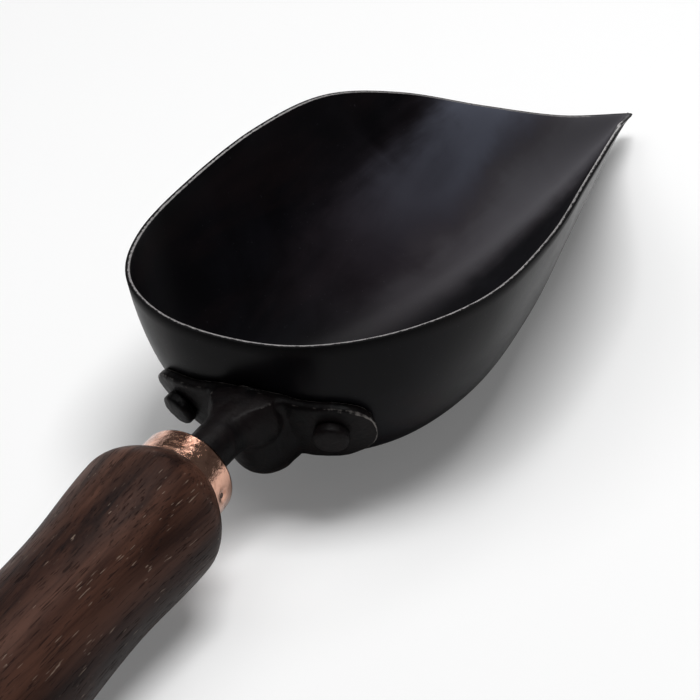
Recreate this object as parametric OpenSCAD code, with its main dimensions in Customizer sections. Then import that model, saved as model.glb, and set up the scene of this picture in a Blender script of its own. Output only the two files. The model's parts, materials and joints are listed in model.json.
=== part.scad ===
// One-hand scoop: pressed steel bowl, forged bracket, two rivets, ferrule, pin and turned handle.
// It is drawn with the handle's axis along Y, the tip forward and the origin at the ferrule's
// front, and then turned so that the bowl's keel and the handle's end both touch the ground.

/* [Bowl] */
// Width across the rim
bowl_w = 100.5; // [88:0.5:112]
// Length from the back of the rim to the tip
bowl_l = 198; // [180:1:220]
// Thickness of the sheet
sheet_t = 1.2; // [1:0.1:1.8]
// Gap between the ferrule's front and the back of the rim
neck_l = 28.5; // [26:0.5:32]
// Height of the rim's back above the handle's axis
rim_rise = 16; // [13:0.5:19]
// How far the tip lies below the rim's back
tip_drop = 56; // [48:0.5:62]
// Depth of the bowl at its heel
heel_depth = 46; // [42:0.5:51]
// How much deeper the keel is along its middle
keel_sag = 10.5; // [8:0.5:14]
// How far the heel lies in front of the rim's back
heel_lead = 35; // [31:0.5:39]

/* [Bracket] */
// Thickness of the ear plate
plate_t = 2.6; // [2:0.1:3.4]
// Half the reach of the two ears
ear_reach = 27.5; // [26:0.5:30]
// Height of one ear
ear_h = 18.5; // [16:0.5:22]
// Diameter of the round shank
shank_d = 11; // [9:0.5:12]
// Angle by which the shank dips towards the bowl
shank_dip = 3.5; // [0:0.5:5]
// Depth of the tang inside the handle
tang_l = 78; // [50:1:85]

/* [Rivets] */
// Distance between the two rivets, across the bowl
rivet_pitch = 38.5; // [36:0.5:41]
// Depth of the rivets below the handle's axis
rivet_drop = 5; // [4:0.5:7]
// Diameter of a rivet's shank
rivet_d = 5; // [4:0.1:5.6]
// Diameter of the outer head
head_d = 8.6; // [7.6:0.1:9.6]
// Height of the outer head
head_h = 3; // [2.2:0.1:4]

/* [Ferrule] */
// Length of the ferrule
ferrule_l = 8; // [7:0.5:11]
// Diameter at the ferrule's back
ferrule_d = 23.8; // [22:0.1:26]
// Thickness of the ferrule's wall
ferrule_t = 0.9; // [0.6:0.1:1.2]
// Diameter of the pin through the ferrule
pin_d = 1.6; // [1.2:0.1:2]

/* [Handle] */
// Length of the wooden handle behind the ferrule
handle_l = 114; // [106:1:130]
// Diameter of the front shoulder
shoulder_d = 35.6; // [31:0.2:38]
// Diameter of the waist
waist_d = 33; // [29:0.2:34]
// Diameter of the swell near the end
swell_d = 36.2; // [32:0.2:38]
// Diameter of the hanging hole
hang_d = 6; // [4:0.5:8]

/* [Hidden] */
$fn = 96;

seat_gap = 0.1;         // between the bowl and the plate, and under a rivet's head
pin_gap = 0.05;         // around rivets and the pin
tang_gap = 0.1;         // around the tang
eps = 0.01;

// ---- rim of the bowl ----
// Places on the rim from its back to the tip: the share of the half width, of the length and
// of the tip's drop.
half_w = bowl_w / 2;
rim_shares = [[0, 0, 0], [0.42, 0.005, -0.04], [0.77, 0.065, -0.045], [0.97, 0.175, -0.005],
              [1, 0.31, 0.02], [0.935, 0.445, 0.035], [0.825, 0.57, 0.11], [0.645, 0.68, 0.3],
              [0.41, 0.785, 0.56], [0.18, 0.89, 0.805], [0, 1, 1]];
rim_places = [for (p = rim_shares) [half_w * p.x, neck_l + bowl_l * p.y, rim_rise - tip_drop * p.z]];
rim_last = len(rim_places) - 1;
rim_tip = rim_places[rim_last];
tip_blunt = 6;          // how broadly the tip is rounded

function bez(p, t) = pow(1 - t, 3) * p[0] + 3 * pow(1 - t, 2) * t * p[1]
                   + 3 * (1 - t) * t * t * p[2] + pow(t, 3) * p[3];
// Direction of the rim at a place: square to the middle plane at both ends.
function rim_way(i) = i == 0 ? [rim_places[1].x, 0, 0] : i == rim_last ? [-tip_blunt, 0, 0]
                             : (rim_places[i + 1] - rim_places[i - 1]) / 2;
function rim(s) =
    let (i = min(rim_last - 1, floor(s * rim_last)), a = rim_places[i], b = rim_places[i + 1])
    bez([a, a + rim_way(i) / 3, b - rim_way(i + 1) / 3, b], s * rim_last - i);
function unit(v) = v / norm(v);

// The rim moved inwards by d, square to itself in plan.
function rim_run(s) = rim(min(1, s + eps)) - rim(max(0, s - eps));
function rim_in(s, d) = let (r = rim_run(s)) rim(s) + d * unit([-r.y, r.x, 0]);
// The parameter at which the moved rim reaches the middle, by halving.
function beak_at(d, lo = 0.8, hi = 1, n = 24) =
    n == 0 ? lo : let (m = (lo + hi) / 2)
    rim_in(m, d).x > 0 ? beak_at(d, m, hi, n - 1) : beak_at(d, lo, m, n - 1);

// ---- keel: from the heel to the tip, all in the plane X = 0 ----
heel_z = rim_rise - heel_depth;
keel_z = [heel_z, heel_z - keel_sag, heel_z - keel_sag, rim_tip.z];
heel_y = neck_l + heel_lead;
function keel(y) = bez(keel_z, (y - heel_y) / (rim_tip.y - heel_y));
function keel_slope(y) = (keel(min(rim_tip.y, y + eps)) - keel(y - eps)) / (2 * eps);

// ---- a rib runs from the rim down to the keel ----
// Each pair holds the value at the back and the one at the tip.
wall_share = [0.84, 0.22];      // how far down the wall stays straight
floor_share = [0.51, 0.33];     // how flat the floor is
flare = [-0.05, 1.25];          // how far the wall leans outwards
function along(pair, u) = pair[0] + (pair[1] - pair[0]) * u;
function rib(r, floor_y, lift, t) =
    let (u = (r.y - neck_l) / bowl_l,
         g = along(wall_share, u),
         h = along(floor_share, u),
         f = along(flare, u) * g,
         k = [0, floor_y, keel(floor_y) + lift],
         run = k.y - r.y)
    bez([r,
         [r.x * (1 - f), r.y + run * f, r.z + (k.z - r.z) * g],
         [r.x * h, k.y - run * h, k.z - keel_slope(k.y) * h * run],
         k], t);
function floor_y(y) = y + heel_lead * (1 - (y - neck_l) / bowl_l);
function side_of(p, sign) = [sign * p.x, p.y, p.z];
function outer(s, t) = let (r = rim(abs(s)))
    side_of(rib(r, floor_y(r.y), 0, t), s < 0 ? -1 : 1);
inner_end = beak_at(sheet_t);
function inner(s, t) = let (r = rim_in(abs(s) * inner_end, sheet_t),
                            k = min(floor_y(r.y), rim_tip.y - eps))
    side_of(rib(r, k, sheet_t, t), s < 0 ? -1 : 1);

// ---- points and faces of the bowl ----
rows = 48;
cols = 14;
function sgn(i) = i < 0 ? -1 : 1;
ribs = 2 * rows - 1;
skin_size = ribs * cols + rows + 1;
function skin_index(i, j) = j < cols ? (i + rows - 1) * cols + j : ribs * cols + abs(i);
tip_index = skin_size - 1;
outer_points = concat(
    [for (i = [1 - rows : rows - 1], j = [0 : cols - 1]) outer(i / rows, j / cols)],
    [for (i = [0 : rows - 1]) outer(i / rows, 1)], [rim_tip]);
inner_points = concat(
    [for (i = [1 - rows : rows - 1], j = [0 : cols - 1]) inner(i / rows, j / cols)],
    [for (i = [0 : rows - 1]) inner(i / rows, 1)], [inner(1, 0)]);
function quad(a, b, c, d) = [[a, b, c], [a, c, d]];
function flip(faces) = [for (f = faces) [f[2], f[1], f[0]]];
function shift(faces, n) = [for (f = faces) [f[0] + n, f[1] + n, f[2] + n]];
skin_faces = concat(
    [for (i = [1 - rows : rows - 2], j = [0 : cols - 1])
        each quad(skin_index(i, j), skin_index(i + 1, j), skin_index(i + 1, j + 1), skin_index(i, j + 1))],
    [for (j = [0 : cols - 1]) [skin_index(rows - 1, j), tip_index, skin_index(rows - 1, j + 1)]],
    [for (j = [0 : cols - 1]) [skin_index(1 - rows, j + 1), tip_index, skin_index(1 - rows, j)]]);
rim_order = concat([for (i = [1 - rows : rows - 1]) skin_index(i, 0)], [tip_index]);
rim_faces = [for (k = [0 : len(rim_order) - 1])
    let (a = rim_order[k], b = rim_order[(k + 1) % len(rim_order)])
    each quad(b, a, a + skin_size, b + skin_size)];

// ---- back wall, where the bracket and the rivets sit ----
function wall_normal(s, t) = unit(cross(outer(s, t + eps) - outer(s, t - eps),
                                        outer(s + eps, t) - outer(s - eps, t)));
function wall(s, t, d) = outer(s, t) + d * wall_normal(s, t);
function wall_t(s, z, lo = 0.02, hi = 0.9, n = 20) =
    n == 0 ? lo : let (m = (lo + hi) / 2)
    outer(s, m).z > z ? wall_t(s, z, m, hi, n - 1) : wall_t(s, z, lo, m, n - 1);
function wall_s(x, z, lo = 0, hi = 0.36, n = 20) =
    n == 0 ? lo : let (m = (lo + hi) / 2)
    outer(m, wall_t(m, z)).x < x ? wall_s(x, z, m, hi, n - 1) : wall_s(x, z, lo, m, n - 1);
rivet_s = wall_s(rivet_pitch / 2, -rivet_drop);
rivet_t = wall_t(rivet_s, -rivet_drop);

// ---- rest on the ground ----
function keel_low(a) = min([for (p = outer_points) p.y * sin(a) + p.z * cos(a)]);
function grip_low(a) = min([for (p = grip_curve) -(ferrule_l + p.x) * sin(a) - p.y * cos(a)]);
function rest_angle(lo = 0, hi = 15, n = 22) =
    n == 0 ? lo : let (m = (lo + hi) / 2)
    keel_low(m) < grip_low(m) ? rest_angle(m, hi, n - 1) : rest_angle(lo, m, n - 1);

// ---- handle: distance behind the ferrule, and radius ----
shoulder_y = 11;
waist_y = 40;
end_round = 22;
grip_steps = 10;
function blend(a, b, u) = a + (b - a) * (1 - cos(180 * u)) / 2;
swell_y = handle_l - end_round;
grip_curve = concat(
    [for (k = [0 : grip_steps]) let (u = k / grip_steps)
        [shoulder_y * u, (ferrule_d + (shoulder_d - ferrule_d) * sin(90 * u)) / 2]],
    [for (k = [1 : grip_steps]) let (u = k / grip_steps)
        [shoulder_y + (waist_y - shoulder_y) * u, blend(shoulder_d, waist_d, u) / 2]],
    [for (k = [1 : grip_steps]) let (u = k / grip_steps)
        [waist_y + (swell_y - waist_y) * u, blend(waist_d, swell_d, u) / 2]],
    [for (k = [1 : grip_steps]) let (u = 90 * k / grip_steps)
        [swell_y + end_round * sin(u), swell_d / 2 * pow(cos(u), 0.9)]]);

rest_tilt = rest_angle();
rest_lift = -min(keel_low(rest_tilt), grip_low(rest_tilt));
front_y = max([for (p = outer_points) p.y * cos(rest_tilt) - p.z * sin(rest_tilt)]);
back_y = min([for (p = grip_curve) -(ferrule_l + p.x) * cos(rest_tilt) - p.y * sin(rest_tilt)]);
module at_rest() {
    translate([0, -(front_y + back_y) / 2, rest_lift]) rotate([rest_tilt, 0, 0]) children();
}
// Stands children, drawn upwards, at a rivet's place with their top away from the wall.
module at_rivet(sign) {
    p = outer(sign * rivet_s, rivet_t);
    n = wall_normal(sign * rivet_s, rivet_t);
    translate(p) rotate([0, acos(n.z), atan2(n.y, n.x)]) children();
}
// Revolves a [distance behind the ferrule's front, radius] outline about the handle's axis.
module turned(points) {
    rotate([90, 0, 0]) rotate_extrude() polygon([for (p = points) [p.y, p.x]]);
}

// ---- scoop bowl ----
module scoop_bowl() {
    color("#26262b") at_rest() difference() {
        polyhedron(concat(outer_points, inner_points),
                   concat(skin_faces, shift(flip(skin_faces), skin_size), rim_faces));
        for (sign = [-1, 1]) at_rivet(sign)
            cylinder(h = 8 * sheet_t, d = rivet_d + 2 * pin_gap, center = true);
    }
}

// ---- handle bracket ----
tab_half = 8;           // half width of the raised middle of the plate
tab_top = 3.5;            // its height above the handle's axis
ear_z = -6.4;           // height of the ears' middle
ear_round = 11;         // length of an ear's round end
ear_square = 0.8;       // below 1 the end is squarer than an ellipse
boss_out = 5.6;         // how far the boss stands off the plate at the axis
boss_heel = 3;          // how much further it does so at its lower middle
boss_r = 9.6;           // its radius
boss_full = 0.75;       // below 1 it is fuller than a parabola
boss_low = 10;          // depth of its lower middle below the axis
root_flare = 0.8;       // how far the shank flares where it meets the plate
root_l = 6;             // length of that flare

// Outline of the plate: a raised middle between two oval ears, as [x, top, bottom].
ear_x = ear_reach - ear_round;
ear_half = ear_h / 2;
mid_cols = 12;
ear_cols = 8;
// The boss's round lower edge reaches below the ears.
function plate_low(x) = min(ear_z - ear_half,
    x < boss_r ? -boss_low - sqrt(boss_r * boss_r - x * x) : 0);
function share(x, a, b) = min(1, max(0, (x - a) / (b - a)));
half_plate = concat(
    [for (k = [0 : mid_cols]) let (x = ear_x * k / mid_cols)
        [x, blend(tab_top, ear_z + ear_half, share(x, tab_half, 0.85 * ear_x)), plate_low(x)]],
    [for (k = [1 : ear_cols]) let (a = 90 - 87 * k / ear_cols, h = ear_half * pow(sin(a), ear_square))
        [ear_x + ear_round * pow(cos(a), ear_square), ear_z + h, ear_z - h]]);
plate_cols = len(half_plate) - 1;

// The plate is lofted along the back wall from one ear to the other.
plate_rows = concat([0, 0.02, 0.06], [for (k = [2 : 15]) k / 17], [0.94, 0.98, 1]);
edge_left = [0.45, 0.85, 1];                // share of the thickness left at the rounded edge
function edge_at(j) = min(j < 3 ? edge_left[j] : 1,
    len(plate_rows) - 1 - j < 3 ? edge_left[len(plate_rows) - 1 - j] : 1);
function boss_at(x, z) =
    let (q = norm([x, z - max(-boss_low, min(0, z))]) / boss_r)
    q < 1 ? (boss_out + boss_heel * share(-z, 0, boss_low)) * pow(1 - q * q, boss_full) : 0;
function plate_ring(i) =
    let (e = half_plate[abs(i)], sign = sgn(i),
         s = wall_s(e.x, (e[1] + e[2]) / 2),
         t = [for (w = plate_rows) wall_t(s, e[1] + (e[2] - e[1]) * w)])
    concat([for (j = [0 : len(t) - 1]) let (o = outer(s, t[j]))
                side_of(wall(s, t[j], seat_gap + edge_at(j) * (plate_t + boss_at(o.x, o.z))), sign)],
           [for (j = [len(t) - 1 : -1 : 0]) side_of(wall(s, t[j], seat_gap), sign)]);
module ear_plate() {
    rings = [for (i = [-plate_cols : plate_cols]) plate_ring(i)];
    n = len(rings[0]);
    half = n / 2;
    last = (len(rings) - 1) * n;
    around = [for (i = [0 : len(rings) - 2], j = [0 : n - 1]) let (k = (j + 1) % n)
        each quad(i * n + j, i * n + n + j, i * n + n + k, i * n + k)];
    cap = [for (j = [0 : half - 2]) each quad(j, j + 1, n - 2 - j, n - 1 - j)];
    polyhedron([for (r = rings) each r], concat(around, cap, shift(flip(cap), last)));
}
// Shank that flares a little where it enters the plate.
plate_top = outer(0, wall_t(0, tab_top)).y - seat_gap - plate_t / 2;
shank_r = shank_d / 2;
shank_in = ferrule_t / 2; // how far the shank reaches into the ferrule
shank_points = concat([[0, -shank_in], [shank_r, -shank_in]],
    [for (k = [0 : 8]) let (a = 90 * k / 8)
        [shank_r + root_flare * (1 - cos(a)), plate_top - root_l * (1 - sin(a))]],
    [[0, plate_top]]);
module shank() {
    rotate([-90 - shank_dip, 0, 0]) rotate_extrude() polygon(shank_points);
}
tang_neck = 12;         // full thickness of the tang behind the ferrule's front
tang_tip_d = 6;
tang_r = shank_r - 0.2;  // the tang is filed a little thinner than the shank
tang_start = 1.5;       // how far the tang runs forward inside the shank
function tang_curve(gap) = [[-tang_start, 0], [-tang_start, tang_r + gap], [tang_neck, tang_r + gap],
    [tang_l + gap, tang_tip_d / 2 + gap], [tang_l + gap, 0]];
module handle_bracket() {
    color("#1f1f24") at_rest() {
        turned(tang_curve(0));
        shank();
        difference() {
            ear_plate();
            for (sign = [-1, 1]) at_rivet(sign)
                cylinder(h = 8 * plate_t, d = rivet_d + 2 * pin_gap, center = true);
        }
    }
}

// ---- rivets: a flat head outside and a hammered one inside the bowl ----
head_edge = 0.7;        // chamfer of the outer head
inner_head_d = 8.6;
inner_head_h = 2;
cup = 1;              // how far the inner head's edge stands off its middle
// Thickness of the bowl's wall at the rivets, square to it.
rivet_sheet = wall_normal(rivet_s, rivet_t)
            * (outer(rivet_s, rivet_t) - inner(rivet_s / inner_end, rivet_t));
module rivet(sign) {
    out = seat_gap + plate_t + seat_gap;
    in = -rivet_sheet - 3 * seat_gap;
    at_rest() at_rivet(sign) rotate_extrude() polygon([
        [0, out + head_h], [head_d / 2 - head_edge, out + head_h], [head_d / 2, out + head_h - head_edge],
        [head_d / 2, out], [rivet_d / 2, out], [rivet_d / 2, in],
        [inner_head_d / 2, in - cup], [inner_head_d / 2 - head_edge, in - inner_head_h],
        [0, in - inner_head_h - seat_gap]]);
}
module left_rivet() { color("#2a2a2f") rivet(-1); }
module right_rivet() { color("#2a2a2f") rivet(1); }

// ---- ferrule: a drawn cap with a rounded front lip ----
lip_r = 1.5;            // radius of the front lip
ferrule_taper = 0.25;   // how much smaller the front is in radius
ferrule_r = ferrule_d / 2;
lip_steps = 8;
function ferrule_skin(inset) = concat(
    [[0, ferrule_r - inset]],
    [for (k = [1 : lip_steps]) let (u = k / lip_steps)
        [(ferrule_l - lip_r) * u, ferrule_r - inset - ferrule_taper * u * u]],
    [for (k = [1 : lip_steps]) let (a = 90 * k / lip_steps, r = lip_r - inset)
        [ferrule_l - lip_r + r * sin(a), ferrule_r - ferrule_taper - lip_r + r * cos(a)]]);
module ferrule_body(inset, hole) {
    turned([for (p = concat(ferrule_skin(inset), [[ferrule_l - inset, hole], [0, hole]]))
        [ferrule_l - p.x, p.y]]);
}
pin_turn = -4;          // angle of the pin round the handle, from the right side upwards
pin_y = ferrule_l * 0.7;
pin_l = 6;
dimple_d = 3.4;
module at_pin() {
    translate([0, -pin_y, 0]) rotate([0, 90 - pin_turn, 0]) children();
}
module ferrule() {
    color("#c98a68") at_rest() difference() {
        ferrule_body(0, shank_d / 2 + 2.5 * tang_gap);
        difference() {
            translate([0, -eps, 0]) ferrule_body(ferrule_t, 0);
            translate([0, eps, 0]) rotate([90, 0, 0]) cylinder(h = ferrule_t, d = shank_d + 8 * tang_gap);
        }
        at_pin() cylinder(h = ferrule_d, d = pin_d + 2 * pin_gap);
        at_pin() translate([0, 0, ferrule_r - 0.35]) cylinder(h = 2, d1 = pin_d, d2 = dimple_d + 2);
    }
}
module ferrule_pin() {
    color("#3a2a22") at_rest() at_pin()
        translate([0, 0, ferrule_r - 0.4 - pin_l]) cylinder(h = pin_l, d = pin_d);
}

// ---- turned handle with a tenon for the ferrule and a bore for the tang ----
hang_back = 13;         // distance of the hanging hole from the handle's end
module wood_handle() {
    color("#4a2f22") at_rest() difference() {
        union() {
            translate([0, -ferrule_l, 0]) turned(concat([[0, 0]], grip_curve));
            difference() {
                translate([0, -eps, 0]) ferrule_body(ferrule_t + tang_gap, 0);
                translate([0, -ferrule_l - eps, 0]) rotate([90, 0, 0]) cylinder(h = 1, d = ferrule_d);
            }
        }
        turned(tang_curve(tang_gap));
        at_pin() translate([0, 0, ferrule_r - 0.4 - pin_l - tang_gap])
            cylinder(h = pin_l + 2, d = pin_d + 2 * pin_gap);
        translate([0, hang_back - ferrule_l - handle_l, 0]) rotate([0, 90, 0])
            cylinder(h = swell_d + 2, d = hang_d, center = true);
    }
}

scoop_bowl();
handle_bracket();
left_rivet();
right_rivet();
ferrule();
ferrule_pin();
wood_handle();
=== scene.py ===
import json
import math
import bpy
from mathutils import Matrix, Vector, noise

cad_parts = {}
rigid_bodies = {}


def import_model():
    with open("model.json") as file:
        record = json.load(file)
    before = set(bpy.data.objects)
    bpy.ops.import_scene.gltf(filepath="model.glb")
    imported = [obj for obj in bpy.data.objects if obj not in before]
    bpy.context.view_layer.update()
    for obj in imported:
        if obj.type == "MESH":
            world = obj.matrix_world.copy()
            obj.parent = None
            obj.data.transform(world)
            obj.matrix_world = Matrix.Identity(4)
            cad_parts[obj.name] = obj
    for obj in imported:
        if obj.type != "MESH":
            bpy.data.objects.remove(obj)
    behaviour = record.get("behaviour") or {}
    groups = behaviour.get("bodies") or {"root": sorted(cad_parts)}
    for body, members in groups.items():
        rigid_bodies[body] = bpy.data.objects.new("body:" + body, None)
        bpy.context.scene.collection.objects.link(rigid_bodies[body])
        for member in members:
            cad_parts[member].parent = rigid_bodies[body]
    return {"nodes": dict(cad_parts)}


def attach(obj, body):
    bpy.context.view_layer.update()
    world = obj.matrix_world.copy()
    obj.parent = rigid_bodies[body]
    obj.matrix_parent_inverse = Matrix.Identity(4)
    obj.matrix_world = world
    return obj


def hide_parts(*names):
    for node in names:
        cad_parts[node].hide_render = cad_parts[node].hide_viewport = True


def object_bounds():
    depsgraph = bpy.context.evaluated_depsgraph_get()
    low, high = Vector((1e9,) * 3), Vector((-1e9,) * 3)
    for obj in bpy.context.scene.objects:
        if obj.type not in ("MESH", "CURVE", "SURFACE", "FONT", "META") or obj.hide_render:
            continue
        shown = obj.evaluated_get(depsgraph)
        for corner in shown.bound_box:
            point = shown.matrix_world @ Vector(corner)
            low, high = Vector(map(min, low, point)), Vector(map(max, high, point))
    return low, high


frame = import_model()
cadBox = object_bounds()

# Points are worked out in mm along the handle's own axes and then turned so that the scoop rests.
rest = {"tilt": 5.02887, "back": 53.7875, "lift": 26.8979}
tilt = math.radians(rest["tilt"])


def placed(point):
    x, y, z = point
    return Vector((x, y * math.cos(tilt) - z * math.sin(tilt) - rest["back"],
                   y * math.sin(tilt) + z * math.cos(tilt) + rest["lift"])) / 1000


# The place is in metres and the turn in degrees.
camera = {"place": (0.4263, -0.6462, 0.4652), "turn": (60.311, 6.081, 29.195), "lens": 192.8, "sensor": 36,
          "far": 20}
bpy.ops.object.camera_add(location=camera["place"], rotation=[math.radians(a) for a in camera["turn"]])
scoopCamera = bpy.context.object
scoopCamera.name = "scoopCamera"
scoopCamera.data.lens = camera["lens"]
scoopCamera.data.sensor_width = camera["sensor"]
scoopCamera.data.clip_end = camera["far"]
bpy.context.scene.camera = scoopCamera
print("camera stands")


# One output of a shader node, with the operators that the materials use.
class Wire:
    def __init__(self, book, socket):
        self.book = book
        self.socket = socket

    def maths(self, operation, first, second=0.0):
        return self.book.add("ShaderNodeMath", {"operation": operation}, {0: first, 1: second})

    def __add__(self, other): return self.maths("ADD", self, other)
    def __radd__(self, other): return self.maths("ADD", other, self)
    def __sub__(self, other): return self.maths("SUBTRACT", self, other)
    def __rsub__(self, other): return self.maths("SUBTRACT", other, self)
    def __mul__(self, other): return self.maths("MULTIPLY", self, other)
    def __rmul__(self, other): return self.maths("MULTIPLY", other, self)
    def __pow__(self, other): return self.maths("POWER", self, other)

    def step(self, low, high):
        return self.book.add("ShaderNodeMapRange", {"interpolation_type": "SMOOTHSTEP"},
                             {0: self, 1: low, 2: high, 3: 0.0, 4: 1.0})


# One material and its nodes.
class Book:
    def __init__(self, name):
        self.material = bpy.data.materials.new(name)
        self.material.use_nodes = True
        self.tree = self.material.node_tree
        self.shader = self.tree.nodes["Principled BSDF"]

    def add(self, kind, settings=None, values=None, output=0):
        node = self.tree.nodes.new(kind)
        for key, value in (settings or {}).items():
            setattr(node, key, value)
        for key, value in (values or {}).items():
            self.feed(node.inputs[key], value)
        return Wire(self, node.outputs[output])

    def feed(self, socket, value):
        if isinstance(value, Wire):
            self.tree.links.new(value.socket, socket)
        elif isinstance(value, tuple) and socket.type == "RGBA":
            socket.default_value = (*value, 1.0)
        else:
            socket.default_value = value

    def mark(self, name):
        return self.add("ShaderNodeAttribute", {"attribute_name": name}, output="Fac")

    def axes(self, where):
        split = self.add("ShaderNodeSeparateXYZ", {}, {0: where})
        return [Wire(self, socket) for socket in split.socket.node.outputs]

    def place(self, size=(1, 1, 1), turn=(0, 0, 0)):
        coords = self.add("ShaderNodeTexCoord", output="Object")
        return self.add("ShaderNodeMapping", {}, {"Vector": coords, "Scale": size, "Rotation": turn})

    def noise(self, where, scale, detail=4.0, rough=0.5, twist=0.0):
        return self.add("ShaderNodeTexNoise", {}, {"Vector": where, "Scale": scale, "Detail": detail,
                                                    "Roughness": rough, "Distortion": twist})

    def blend(self, share, first, second):
        return self.add("ShaderNodeMix", {"data_type": "RGBA"}, {0: share, 6: first, 7: second}, output=2)

    def bump(self, height, strength, depth, under=None):
        values = {"Height": height, "Strength": strength, "Distance": depth}
        if under:
            values["Normal"] = under
        return self.add("ShaderNodeBump", {}, values)

    def finish(self, values):
        for key, value in values.items():
            self.feed(self.shader.inputs[key], value)
        return self.material


def dress(piece, material):
    piece.data.materials.clear()
    piece.data.materials.append(material)


# Blackened sheet steel. A noise has its scale, detail, roughness and twist. A band is a painted reflection of the
# lamps inside the bowl, and the one at the tip also stands for a duller, paler finish there: its middle, half width
# and soft edge in metres across the bowl, where along the bowl it starts and is full, and how steeply it grows
# between them.
sheetLook = {"dark": (0.0016, 0.0014, 0.0021), "cloud": (0.0036, 0.0034, 0.0048), "brown": (0.0075, 0.0044, 0.0050),
             "floor": (0.021, 0.016, 0.020), "tip": (0.070, 0.068, 0.076), "hazeReflection": (0.085, 0.092, 0.120),
             "speck": (0.08, 0.08, 0.09), "under": (0.0010, 0.0010, 0.0012), "worn": (0.45, 0.43, 0.43),
             "gloss": 0.36, "shine": 0.085, "lean": 0.12, "tipPlace": (-0.002, 0.159), "drift": 0.030,
             "streaks": (16, 5, 0.6, 0.5), "clouds": (30, 4, 0.55, 0.7), "grain": (1100, 2, 0.6),
             "specks": (1500, 1, 0.5), "chips": (900, 4, 0.7), "waves": (34, 2, 0.4),
             "bands": {"floor": (-0.0070, 0.0180, 0.0120, 0.030, 0.095, 1.0),
                       "tip": (0.0, 0.0105, 0.0085, 0.035, 0.140, 1.0),
                       "hazeReflection": (-0.0135, 0.0085, 0.0070, 0.040, 0.128, 2.2)}}


def paintedSheenBand(name, across, along):
    middle, half, soft, start, full, power = sheetLook["bands"][name]
    away = ((across - middle) ** 2.0) ** 0.5
    return (half - away).step(0.0, soft) * along.step(start, full) ** power


def makeSheetSteel():
    look = sheetLook
    book = Book("blackenedSheet")
    where = book.place()
    streaks = book.noise(book.place((3.2, 0.8, 3.2), (0.2, 0.1, 0.5)), *look["streaks"])
    clouds = book.noise(where, *look["clouds"])
    grain = book.noise(where, *look["grain"])
    specks = book.noise(where, *look["specks"]).step(0.745, 0.80)
    chips = book.noise(where, *look["chips"])
    under, inner = book.mark("rimUnderShade"), book.mark("inside")
    bare = (book.mark("rimWear") * (chips * 2.2 - 0.10)).step(0.50, 0.85)
    x, y = book.axes(where)[:2]
    drift = (clouds - 0.5) * look["drift"] + (streaks - 0.5) * look["drift"]
    across = x + (look["tipPlace"][1] - y) * look["lean"] - look["tipPlace"][0] + drift * 0.28
    along = y + drift * 0.6
    # Painted reflections of the lamps: a pale band on the bowl's floor, a grey one toward the tip and a bluish
    # haze.
    floorSheen, tipSheen, hazeSheen = [paintedSheenBand(name, across, along) * inner for name in ("floor", "tip", "hazeReflection")]
    tone = book.blend(clouds.step(0.35, 0.7), look["dark"], look["cloud"])
    tone = book.blend(streaks.step(0.5, 0.75) * 0.7, tone, look["brown"])
    tone = book.blend(floorSheen * (streaks * 0.8 + 0.6), tone, look["floor"])
    tone = book.blend(tipSheen * (clouds * 0.3 + 0.75), tone, look["tip"])
    tone = book.blend(hazeSheen * (streaks * 0.5 + 0.6), tone, look["hazeReflection"])
    tone = book.blend(specks * 0.25, tone, look["speck"])
    # Painted shade: darker and rougher on the outer side of the rim's edge.
    tone = book.blend(under * 0.8, tone, look["under"])
    tone = book.blend(bare, tone, look["worn"])
    rough = (look["gloss"] + (clouds - 0.5) * 0.18 + (streaks - 0.5) * 0.20 + (grain - 0.5) * 0.06
             + under * 0.35 + tipSheen * 0.08)
    normal = book.bump(book.noise(where, *look["waves"]), 0.35, 0.0012)
    normal = book.bump(grain, 0.10, 0.0001, normal)
    return book.finish({"Base Color": tone, "Roughness": rough, "Metallic": bare * 0.9, "Normal": normal,
                        "Specular IOR Level": look["shine"]})


# Forged, blackened steel of the bracket and the rivets.
forgeLook = {"dark": (0.0018, 0.0016, 0.0020), "warm": (0.0052, 0.0036, 0.0038), "worn": (0.20, 0.185, 0.175),
             "gloss": 0.46, "shine": 0.09, "clouds": (110, 5, 0.6, 0.6), "pits": (560, 4, 0.65),
             "scale": (1700, 2, 0.6)}


def makeForgedSteel():
    look = forgeLook
    book = Book("forgedSteel")
    where = book.place()
    clouds, pits, scale = [book.noise(where, *look[name]) for name in ("clouds", "pits", "scale")]
    bare = (book.mark("edgeWear") + (pits - 0.5) * 1.2).step(0.85, 1.35)
    tone = book.blend(clouds.step(0.35, 0.65), look["dark"], look["warm"])
    tone = book.blend(bare * 0.7, tone, look["worn"])
    rough = look["gloss"] + (clouds - 0.5) * 0.30 + (pits - 0.5) * 0.25
    normal = book.bump(clouds, 0.40, 0.0007)
    normal = book.bump(pits, 0.60, 0.0003, normal)
    normal = book.bump(scale, 0.25, 0.0001, normal)
    return book.finish({"Base Color": tone, "Roughness": rough, "Metallic": bare * 0.8, "Normal": normal,
                        "Specular IOR Level": look["shine"]})


# Polished copper, slightly uneven.
copperLook = {"bright": (0.66, 0.38, 0.28), "tarnish": (0.26, 0.11, 0.07), "gloss": 0.11,
              "clouds": (200, 4, 0.6, 0.8), "ripple": (520, 4, 0.65, 1.0), "scratch": (2600, 3, 0.65, 0.6)}


def makeCopper():
    look = copperLook
    book = Book("polishedCopper")
    where = book.place()
    clouds, ripple = [book.noise(where, *look[name]) for name in ("clouds", "ripple")]
    scratch = book.noise(book.place((1, 3, 1)), *look["scratch"])
    tone = book.blend(clouds.step(0.42, 0.70) * 0.6, look["bright"], look["tarnish"])
    rough = look["gloss"] + (clouds - 0.5) * 0.10 + scratch.step(0.5, 0.8) * 0.10
    normal = book.bump(ripple, 0.45, 0.00030)
    normal = book.bump(scratch, 0.16, 0.00005, normal)
    return book.finish({"Base Color": tone, "Roughness": rough, "Metallic": 1.0, "Normal": normal})
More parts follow.
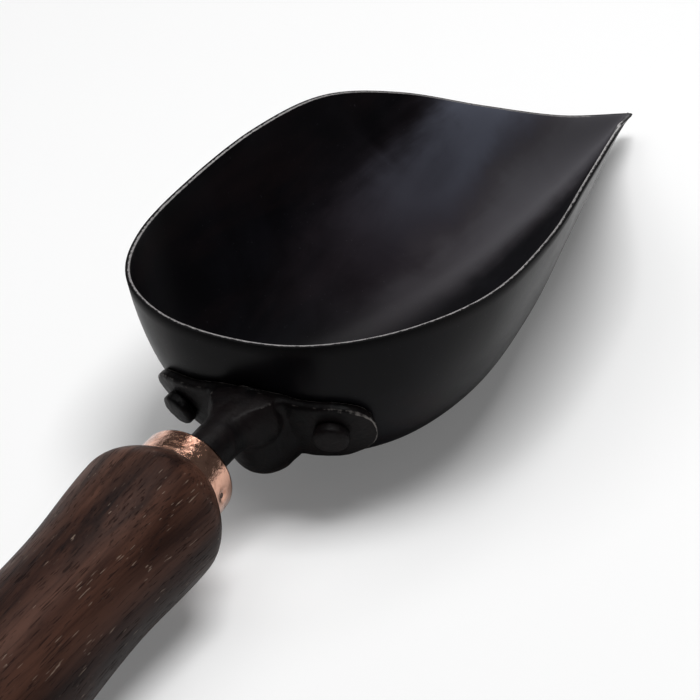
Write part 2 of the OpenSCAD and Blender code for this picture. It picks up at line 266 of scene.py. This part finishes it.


# Oiled walnut. Each grain noise has first how far it is drawn out along the handle. The painted shade darkens the
# handle's right and lower side: the direction across the grain in which it lies, and where it starts and is full.
walnutLook = {"dark": (0.0095, 0.0036, 0.0027), "mid": (0.042, 0.0170, 0.0110), "warm": (0.120, 0.056, 0.038),
              "pore": (0.0045, 0.0024, 0.0020), "fleck": (0.24, 0.18, 0.14), "gloss": 0.46, "shine": 0.07,
              "bands": (0.09, 170, 5, 0.62, 1.2), "warmth": (0.10, 75, 3, 0.5, 0.8), "fibre": (0.035, 1000, 3, 0.6),
              "dashes": (0.06, 2500, 2, 0.5), "glints": (0.07, 2600, 1, 0.4), "patches": (150, 2, 0.5),
              "paintedShadeSide": (0.72, -0.69, -0.002, 0.014), "centre": 0.022}


def makeWalnut():
    look = walnutLook
    book = Book("oiledWalnut")
    bands, warmth, fibre, dashes, glints = [
        book.noise(book.place((1, look[name][0], 1), (-tilt, 0, 0)), *look[name][1:])
        for name in ("bands", "warmth", "fibre", "dashes", "glints")]
    pores = dashes.step(0.58, 0.66)
    flecks = glints.step(0.69, 0.74) * book.noise(book.place(), *look["patches"]).step(0.46, 0.58)
    x, z = book.axes(book.place())[::2]
    # Painted shade: the handle's right and lower side is made darker.
    right, down, start, full = look["paintedShadeSide"]
    shadeSide = (x * right + (z - look["centre"]) * down + (bands - 0.5) * 0.020).step(start, full)
    tone = book.blend(bands.step(0.38, 0.60), look["dark"], look["mid"])
    tone = book.blend(warmth.step(0.42, 0.68) * 0.7, tone, look["warm"])
    tone = book.blend(fibre.step(0.42, 0.70) * 0.45, tone, look["dark"])
    tone = book.blend(shadeSide * 0.6, tone, look["dark"])
    tone = book.blend(pores * 0.6, tone, look["pore"])
    tone = book.blend(flecks * 0.6, tone, look["fleck"])
    rough = look["gloss"] + (fibre - 0.5) * 0.22 + pores * 0.25 + (bands - 0.5) * 0.12
    normal = book.bump(fibre * 0.5 - pores, 0.30, 0.0001)
    return book.finish({"Base Color": tone, "Roughness": rough, "Normal": normal,
                        "Specular IOR Level": look["shine"]})


pinLook = {"dark": (0.03, 0.015, 0.01), "light": (0.10, 0.05, 0.035), "spots": (900, 3, 0.6), "gloss": 0.5,
           "metal": 0.6}


def makePinMetal():
    book = Book("pinMetal")
    tone = book.blend(book.noise(book.place(), *pinLook["spots"]), pinLook["dark"], pinLook["light"])
    return book.finish({"Base Color": tone, "Roughness": pinLook["gloss"], "Metallic": pinLook["metal"]})


# The floor keeps the shadow. A small share of plain white that only the camera sees evens it out.
floorLook = {"light": (0.935, 0.935, 0.935), "pale": (0.925, 0.925, 0.927), "patches": (3, 2, 0.5), "gloss": 0.9,
             "shine": 0.1, "lift": 0.14}


def makeFloor():
    book = Book("paleFloor")
    tone = book.blend(book.noise(book.place(), *floorLook["patches"]), floorLook["light"], floorLook["pale"])
    book.finish({"Base Color": tone, "Roughness": floorLook["gloss"], "Specular IOR Level": floorLook["shine"]})
    white = book.add("ShaderNodeEmission", {}, {"Color": (1, 1, 1), "Strength": 1.0})
    seen = book.add("ShaderNodeLightPath", output="Is Camera Ray")
    both = book.add("ShaderNodeMixShader", {}, {0: seen * floorLook["lift"], 2: white})
    book.tree.links.new(book.shader.outputs[0], both.socket.node.inputs[1])
    book.tree.links.new(both.socket, book.tree.nodes["Material Output"].inputs["Surface"])
    return book.material


def alone(piece=None):
    if bpy.context.object and bpy.context.object.mode != "OBJECT":
        bpy.ops.object.mode_set(mode="OBJECT")
    bpy.ops.object.select_all(action="DESELECT")
    if piece:
        piece.select_set(True)
        bpy.context.view_layer.objects.active = piece


# Points nearer than merge, in metres, are joined. Edges sharper than crease, in degrees, stay sharp.
mending = {"merge": 1e-6, "crease": 35, "smoothing": 0.5}


def tidyUp(piece, merge=mending["merge"]):
    alone(piece)
    bpy.ops.object.mode_set(mode="EDIT")
    bpy.ops.mesh.select_all(action="SELECT")
    bpy.ops.mesh.remove_doubles(threshold=merge)
    bpy.ops.mesh.delete_loose(use_verts=True, use_edges=True, use_faces=False)
    bpy.ops.mesh.select_all(action="SELECT")
    bpy.ops.mesh.normals_make_consistent(inside=False)
    bpy.ops.object.mode_set(mode="OBJECT")
    bpy.ops.object.shade_smooth_by_angle(angle=math.radians(mending["crease"]))


def applyAll(piece):
    alone(piece)
    for modifier in list(piece.modifiers):
        bpy.ops.object.modifier_apply(modifier=modifier.name)


def smoothed(piece, times):
    smooth = piece.modifiers.new("smooth", "SMOOTH")
    smooth.iterations = times
    smooth.factor = mending["smoothing"]
    applyAll(piece)


# Spins a closed section of [along, radius] in mm about the handle's axis, or about another one.
def turned(name, section, steps, move=placed):
    alone()
    bpy.ops.mesh.primitive_circle_add(vertices=len(section), radius=0.01, fill_type="NOTHING")
    piece = bpy.context.object
    piece.name = name
    for vertex, (along, radius) in zip(piece.data.vertices, section):
        vertex.co = (radius / 1000, along / 1000, 0)
    bpy.ops.object.mode_set(mode="EDIT")
    bpy.ops.mesh.select_all(action="SELECT")
    bpy.ops.mesh.spin(steps=steps, angle=2 * math.pi, center=(0, 0, 0), axis=(0, 1, 0), use_auto_merge=True)
    bpy.ops.object.mode_set(mode="OBJECT")
    tidyUp(piece)
    for vertex in piece.data.vertices:
        vertex.co = move(vertex.co * 1000)
    return piece


def keep(piece, node, material):
    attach(piece, "root")
    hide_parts(node)
    dress(piece, material)
    print(piece.name, len(piece.data.polygons))


# The pressed bowl: a skin of ribs that run from the rim down to the keel, outside and inside. Wear and under are
# marks on the rows of points nearest to the rim, and the wear fades before the tip. Under is a painted shade on the
# outer side of the rim's edge.
bowl = {"width": 100.5, "length": 198, "sheet": 1.2, "neck": 28.5, "rise": 16, "drop": 56, "heelDepth": 46,
        "sag": 10.5, "heelLead": 35, "blunt": 6, "wall": (0.84, 0.22), "floor": (0.51, 0.33),
        "flare": (-0.05, 1.25), "rows": 120, "cols": 44, "crowd": 1.2, "merge": 2e-6,
        "roundEdge": 0.3, "edgeMost": (0.2, 0.4), "edgePull": (0.6, 0.2),
        "wear": {0: 0.50, 1: 0.90, 2: 1.0, 3: 0.35}, "wearEnd": 0.165, "wearFade": 0.006,
        "under": {-4: 0.6, -3: 1.0, -2: 1.0, -1: 1.0, 0: 0.6}}
rimShares = [(0, 0, 0), (0.42, 0.005, -0.04), (0.77, 0.065, -0.045), (0.97, 0.175, -0.005), (1, 0.31, 0.02),
             (0.935, 0.445, 0.035), (0.825, 0.57, 0.11), (0.645, 0.68, 0.3), (0.41, 0.785, 0.56),
             (0.18, 0.89, 0.805), (0, 1, 1)]
rimPlaces = [Vector((bowl["width"] / 2 * x, bowl["neck"] + bowl["length"] * y, bowl["rise"] - bowl["drop"] * z))
             for x, y, z in rimShares]
rimLast = len(rimPlaces) - 1
rimTip = rimPlaces[rimLast]
heelZ = bowl["rise"] - bowl["heelDepth"]
keelZ = [heelZ, heelZ - bowl["sag"], heelZ - bowl["sag"], rimTip.z]
heelY = bowl["neck"] + bowl["heelLead"]


def cubic(points, t):
    return (points[0] * (1 - t) ** 3 + points[1] * (3 * (1 - t) ** 2 * t)
            + points[2] * (3 * (1 - t) * t * t) + points[3] * t ** 3)


def rimWay(i):
    if i == 0:
        return Vector((rimPlaces[1].x, 0, 0))
    if i == rimLast:
        return Vector((-bowl["blunt"], 0, 0))
    return (rimPlaces[i + 1] - rimPlaces[i - 1]) / 2


def rim(s):
    i = min(rimLast - 1, int(s * rimLast))
    first, last = rimPlaces[i], rimPlaces[i + 1]
    return cubic([first, first + rimWay(i) / 3, last - rimWay(i + 1) / 3, last], s * rimLast - i)


def rimInside(s, depth):
    run = rim(min(1, s + 0.01)) - rim(max(0, s - 0.01))
    return rim(s) + Vector((-run.y, run.x, 0)).normalized() * depth


def halved(low, high, test):
    for turn in range(30):
        middle = (low + high) / 2
        low, high = (middle, high) if test(middle) else (low, middle)
    return low


innerEnd = halved(0.8, 1, lambda s: rimInside(s, bowl["sheet"]).x > 0)


def keel(y):
    return cubic(keelZ, (y - heelY) / (rimTip.y - heelY))


def shareAt(name, u):
    return bowl[name][0] + (bowl[name][1] - bowl[name][0]) * u


def rib(top, floorY, lift, t):
    u = (top.y - bowl["neck"]) / bowl["length"]
    wall, flat = shareAt("wall", u), shareAt("floor", u)
    lean = shareAt("flare", u) * wall
    low = Vector((0, floorY, keel(floorY) + lift))
    run = floorY - top.y
    slope = (keel(min(rimTip.y, floorY + 0.01)) - keel(floorY - 0.01)) / 0.02
    return cubic([top,
                  Vector((top.x * (1 - lean), top.y + run * lean, top.z + (low.z - top.z) * wall)),
                  Vector((top.x * flat, floorY - run * flat, low.z - slope * flat * run)), low], t)


def skin(s, t, inside=False):
    share = abs(s)
    top = rimInside(share * innerEnd, bowl["sheet"]) if inside else rim(share)
    low = top.y + bowl["heelLead"] * (1 - (top.y - bowl["neck"]) / bowl["length"])
    point = rib(top, min(low, rimTip.y - 0.01) if inside else low, bowl["sheet"] if inside else 0, t)
    return Vector((-point.x if s < 0 else point.x, point.y, point.z))


def bowlSection(s):
    reach = (skin(s, 0.01) - skin(s, 0)).length * 100
    start = min(bowl["edgeMost"][0], bowl["roundEdge"] / max(reach, 0.1))
    corners = [skin(s, 0), skin(s, 0, True)]
    across = corners[1] - corners[0]
    slide = across * min(bowl["edgeMost"][1], bowl["roundEdge"] / max(across.length, 0.1))
    steps = [start + (1 - start) * (k / bowl["cols"]) ** bowl["crowd"] for k in range(bowl["cols"] + 1)]
    outside = [skin(s, t) for t in steps[::-1]]
    inside = [skin(s, t, True) for t in steps]
    own, pull = bowl["edgePull"]
    edge = [corners[0] * own + outside[-1] * pull + (corners[0] + slide) * pull, corners[0] + slide,
            corners[0] + across / 2, corners[1] - slide,
            corners[1] * own + inside[0] * pull + (corners[1] - slide) * pull]
    return outside + edge + inside


def makeBowl():
    alone()
    rows = 2 * bowl["rows"]
    sections = [bowlSection(row / bowl["rows"] - 1) for row in range(rows + 1)]
    cols = len(sections[0]) - 1
    bpy.ops.mesh.primitive_grid_add(x_subdivisions=rows, y_subdivisions=cols, size=1)
    piece = bpy.context.object
    piece.name = "pressed_bowl"
    wear = piece.data.attributes.new("rimWear", "FLOAT", "POINT")
    # A mark for the painted shade on the outer side of the rim's edge.
    under = piece.data.attributes.new("rimUnderShade", "FLOAT", "POINT")
    inner = piece.data.attributes.new("inside", "FLOAT", "POINT")
    for vertex in piece.data.vertices:
        row = round((vertex.co.x + 0.5) * rows)
        col = round((vertex.co.y + 0.5) * cols)
        vertex.co = placed(sections[row][col])
        vertex.co.z = max(vertex.co.z, 0)
        off = col - cols // 2
        fade = min(1, max(0, (bowl["wearEnd"] - vertex.co.y) / bowl["wearFade"]))
        wear.data[vertex.index].value = bowl["wear"].get(off, 0.0) * fade
        under.data[vertex.index].value = bowl["under"].get(off, 0.0)
        inner.data[vertex.index].value = 1.0 if off > 0 else 0.0
    tidyUp(piece, bowl["merge"])
    keep(piece, "scoop_bowl", makeSheetSteel())


# The forged bracket: the plain shape with the shank swept into the plate, softened and hammered. The hammering
# starts outside the ferrule. An edge that a blur would cut by the arris, in mm, counts as fully worn.
bracket = {"voxel": 0.0003, "soften": 3, "dip": 3.5, "crown": 4.8, "crownShare": 0.2, "hammer": 0.11,
           "hammerFrom": 3, "pitch": 3.0, "blur": 14, "arris": 0.05, "turns": 96,
           "trumpet": [(13, 0), (13, 5.45), (15.5, 5.6), (18, 6.2), (20, 7.1), (22, 8.4), (24, 9.3), (26.5, 9.5),
                       (26.5, 0)]}


def dipped(point):
    x, y, z = point
    a = math.radians(-bracket["dip"])
    if z > bracket["crown"]:
        z = bracket["crown"] + (z - bracket["crown"]) * bracket["crownShare"]
    return placed((x, y * math.cos(a) - z * math.sin(a), y * math.sin(a) + z * math.cos(a)))


def copyOf(node, name):
    alone(frame["nodes"][node])
    bpy.ops.object.duplicate()
    piece = bpy.context.object
    piece.name = name
    bpy.ops.object.parent_clear(type="CLEAR_KEEP_TRANSFORM")
    for key in list(piece.keys()):
        del piece[key]
    tidyUp(piece)
    return piece


def markEdges(piece):
    alone(piece)
    bpy.ops.object.duplicate()
    blurred = bpy.context.object
    smoothed(blurred, bracket["blur"])
    wear = piece.data.attributes.new("edgeWear", "FLOAT", "POINT")
    normals = [vertex.normal.copy() for vertex in piece.data.vertices]
    for vertex, flat, normal in zip(piece.data.vertices, blurred.data.vertices, normals):
        wear.data[vertex.index].value = max(0, (vertex.co - flat.co).dot(normal)) * 1000 / bracket["arris"]
    bpy.data.objects.remove(blurred)


def makeBracket(material):
    piece = copyOf("handle_bracket", "forged_bracket")
    sweep = turned("sweep", bracket["trumpet"], bracket["turns"], dipped)
    alone(piece)
    sweep.select_set(True)
    bpy.ops.object.join()
    remesh = piece.modifiers.new("forge", "REMESH")
    remesh.mode = "VOXEL"
    remesh.voxel_size = bracket["voxel"]
    applyAll(piece)
    smoothed(piece, bracket["soften"])
    front = placed((0, bracket["hammerFrom"], 0)).y
    normals = [vertex.normal.copy() for vertex in piece.data.vertices]
    for vertex, normal in zip(piece.data.vertices, normals):
        if vertex.co.y > front:
            dent = noise.noise(vertex.co * 1000 / bracket["pitch"]) * bracket["hammer"] - bracket["hammer"] / 2
            vertex.co += normal * dent / 1000
    markEdges(piece)
    alone(piece)
    bpy.ops.object.shade_smooth()
    keep(piece, "handle_bracket", material)


# The two rivets stand square to the bowl's back wall, with hammered heads.
rivet = {"pitch": 38.5, "drop": 5, "shank": 5, "head": 8.6, "high": 3, "inner": 8.6, "innerHigh": 2, "cup": 1,
         "gap": 0.1, "plate": 2.6, "hammer": 0.09, "grain": 700, "turns": 96,
         "dome": [(0.02, 0), (0.03, 0.35), (0.12, 0.65), (0.28, 0.82), (0.50, 0.92), (0.85, 0.985), (1.3, 1)]}


def wallT(s, z):
    return halved(0.02, 0.9, lambda t: skin(s, t).z > z)


def makeRivet(node, side, material):
    s = halved(0, 0.36, lambda share: skin(share, wallT(share, -rivet["drop"])).x < rivet["pitch"] / 2)
    t = wallT(s, -rivet["drop"])
    foot = skin(s, t)
    out = (skin(s, t + 0.01) - skin(s, t - 0.01)).cross(skin(s + 0.01, t) - skin(s - 0.01, t)).normalized()
    sheet = out.dot(foot - skin(s / innerEnd, t, True))
    across = out.cross(Vector((0, 0, 1))).normalized()
    up = across.cross(out)
    low, gap = 2 * rivet["gap"] + rivet["plate"], rivet["gap"]
    high, under = low + rivet["high"], -sheet - 3 * gap
    r, inner, shank = rivet["head"] / 2, rivet["inner"] / 2, rivet["shank"] / 2
    section = [(high - fall, r * share) for fall, share in rivet["dome"]]
    section += [(low + 0.3, r), (low + 0.05, r * 0.985), (low, r * 0.95), (low, shank), (under, shank),
                (under - rivet["cup"] + 0.1, inner - 0.12), (under - rivet["cup"] - 0.25, inner - 0.05),
                (under - 1.55, inner - 0.45), (under - 1.9, inner * 0.6), (under - rivet["innerHigh"], 0)]

    def square(point):
        place = foot + across * point[0] + out * point[1] + up * point[2]
        return placed((place.x * side, place.y, place.z))

    piece = turned(node + "_hammered", section, rivet["turns"], square)
    middle = square((0, 0, 0))
    for vertex in piece.data.vertices:
        spot = (vertex.co - middle) * rivet["grain"] + Vector((side * 3, 0, 0))
        dent = noise.noise(spot) * rivet["hammer"] - rivet["hammer"] / 2
        if dent < 0:
            vertex.co += (middle - vertex.co).normalized() * -dent / 1000
    tidyUp(piece)
    keep(piece, node, material)


# The ferrule, a drawn copper cap with a dimple round its pin.
ferrule = {"length": 8, "width": 23.8, "wall": 0.9, "lip": 1.5, "taper": 0.25, "bore": 5.75, "boreRound": 0.3,
           "pinTurn": -4, "pinBack": 5.6, "dimple": 1.7, "dimpleReach": 1.6, "dent": 0.5, "lengthSteps": 28,
           "lipSteps": 12, "turns": 288}


def ferruleLine(inset):
    radius, lip = ferrule["width"] / 2, ferrule["lip"]
    line = []
    for k in range(ferrule["lengthSteps"] + 1):
        u = k / ferrule["lengthSteps"]
        line.append((-ferrule["length"] + (ferrule["length"] - lip) * u, radius - inset - ferrule["taper"] * u * u))
    for k in range(1, ferrule["lipSteps"] + 1):
        a = math.radians(90 * k / ferrule["lipSteps"])
        line.append((-lip + (lip - inset) * math.sin(a),
                     radius - ferrule["taper"] - lip + (lip - inset) * math.cos(a)))
    return line


def makeFerrule():
    inside = ferruleLine(ferrule["wall"])
    bore, soft = ferrule["bore"], ferrule["boreRound"]
    section = ferruleLine(0) + [(0, bore + soft), (-soft, bore), (-ferrule["wall"], bore)] + inside[::-1]
    piece = turned("copper_ferrule", section, ferrule["turns"])
    a = math.radians(ferrule["pinTurn"])
    radius = ferrule["width"] / 2
    pin = placed((radius * math.cos(a), -ferrule["pinBack"], radius * math.sin(a)))
    middle = placed((0, -ferrule["pinBack"], 0))
    inward = (middle - pin).normalized()
    for vertex in piece.data.vertices:
        away = (vertex.co - pin).length * 1000
        if away < ferrule["dimple"] * ferrule["dimpleReach"]:
            vertex.co += inward * ferrule["dent"] * math.exp(-(away / ferrule["dimple"]) ** 2 * 2) / 1000
    keep(piece, "ferrule", makeCopper())


# The turned walnut handle.
handle = {"length": 114, "front": 23.8, "shoulder": 35.6, "shoulderAt": 11, "waist": 33, "waistAt": 40,
          "swell": 36.2, "endRound": 22, "endPower": 0.9, "hang": 6, "hangBack": 13, "bore": 5.4,
          "boreEnd": [(-80, 0), (-78.2, 3)], "boreBack": -12, "steps": 150, "turns": 192,
          "hangTurns": 64, "drill": 0.06, "crease": 40}


def gripRadius(d):
    swellAt = handle["length"] - handle["endRound"]
    legs = [(0, handle["shoulderAt"], "front", "shoulder"),
            (handle["shoulderAt"], handle["waistAt"], "shoulder", "waist"),
            (handle["waistAt"], swellAt, "waist", "swell")]
    for first, last, small, large in legs:
        if d < last:
            u = (d - first) / (last - first)
            rise = math.sin(math.pi / 2 * u) if first == 0 else (1 - math.cos(math.pi * u)) / 2
            return (handle[small] + (handle[large] - handle[small]) * rise) / 2
    a = math.asin(min(1, (d - swellAt) / handle["endRound"]))
    return handle["swell"] / 2 * max(0, math.cos(a)) ** handle["endPower"]


def makeHandle():
    back = -ferrule["length"]
    section = [(back, handle["bore"])]
    for k in range(handle["steps"] + 1):
        u = k / handle["steps"]
        d = handle["length"] * (math.sin(math.pi / 2 * u) if u > 0.5 else u * math.sin(math.pi / 4) * 2)
        section.append((back - d, gripRadius(min(d, handle["length"]))))
    section[-1] = (back - handle["length"], 0)
    section += handle["boreEnd"] + [(handle["boreBack"], handle["bore"])]
    piece = turned("walnut_handle", section, handle["turns"])
    alone()
    bpy.ops.mesh.primitive_cylinder_add(vertices=handle["hangTurns"], radius=handle["hang"] / 2000,
                                        depth=handle["drill"],
                                        location=placed((0, handle["hangBack"] + back - handle["length"], 0)),
                                        rotation=(0, math.pi / 2, 0))
    drill = bpy.context.object
    cut = piece.modifiers.new("hang", "BOOLEAN")
    cut.operation = "DIFFERENCE"
    cut.object = drill
    cut.solver = "EXACT"
    applyAll(piece)
    bpy.data.objects.remove(drill)
    for vertex in piece.data.vertices:
        vertex.co.y = max(vertex.co.y, cadBox[0][1])
        vertex.co.z = max(vertex.co.z, 0)
    bpy.ops.object.shade_smooth_by_angle(angle=math.radians(handle["crease"]))
    keep(piece, "wood_handle", makeWalnut())


# A pale floor, a soft key lamp and a weaker one overhead, a small lamp for the copper's glint, and a low card
# of light beyond the tip on the left. Each lamp has its place, its aim, its size and its power.
stage = {"world": 0.09, "floor": 8, "below": 0.0003, "lamps": [
    ("overhead", (-0.30, 0.10, 1.20), (0, 0.02, 0), (1.0, 1.0), 4.0),
    ("key", (0.27, 0.12, 1.20), (0, 0.03, 0), (0.60, 0.60), 11.6),
    ("glint", (-0.03, 0.85, 0.86), (0, -0.05, 0.03), (0.24, 0.24), 1.0),
    ("card", (-0.85, 0.95, 0.28), (0, 0, 0.05), (1.0, 0.5), 1.6)]}


def makeStage():
    alone()
    bpy.ops.mesh.primitive_plane_add(size=stage["floor"], location=(0, 0, -stage["below"]))
    floor = bpy.context.object
    floor.name = "floor"
    dress(floor, makeFloor())
    for name, place, aim, size, power in stage["lamps"]:
        bpy.ops.object.light_add(type="AREA", location=place)
        lamp = bpy.context.object
        lamp.name = name
        lamp.data.shape = "RECTANGLE"
        lamp.data.size, lamp.data.size_y = size
        lamp.data.energy = power
        lamp.rotation_euler = (Vector(aim) - Vector(place)).to_track_quat("-Z", "Y").to_euler()
    world = bpy.context.scene.world or bpy.data.worlds.new("studio")
    bpy.context.scene.world = world
    world.use_nodes = True
    sky = world.node_tree.nodes["Background"]
    sky.inputs["Color"].default_value = (1, 1, 1, 1)
    sky.inputs["Strength"].default_value = stage["world"]
    bpy.context.scene.view_settings.view_transform = "Standard"
    print("stage lit")


makeBowl()
forged = makeForgedSteel()
makeBracket(forged)
makeRivet("left_rivet", -1, forged)
makeRivet("right_rivet", 1, forged)
makeFerrule()
dress(frame["nodes"]["ferrule_pin"], makePinMetal())
makeHandle()
makeStage()
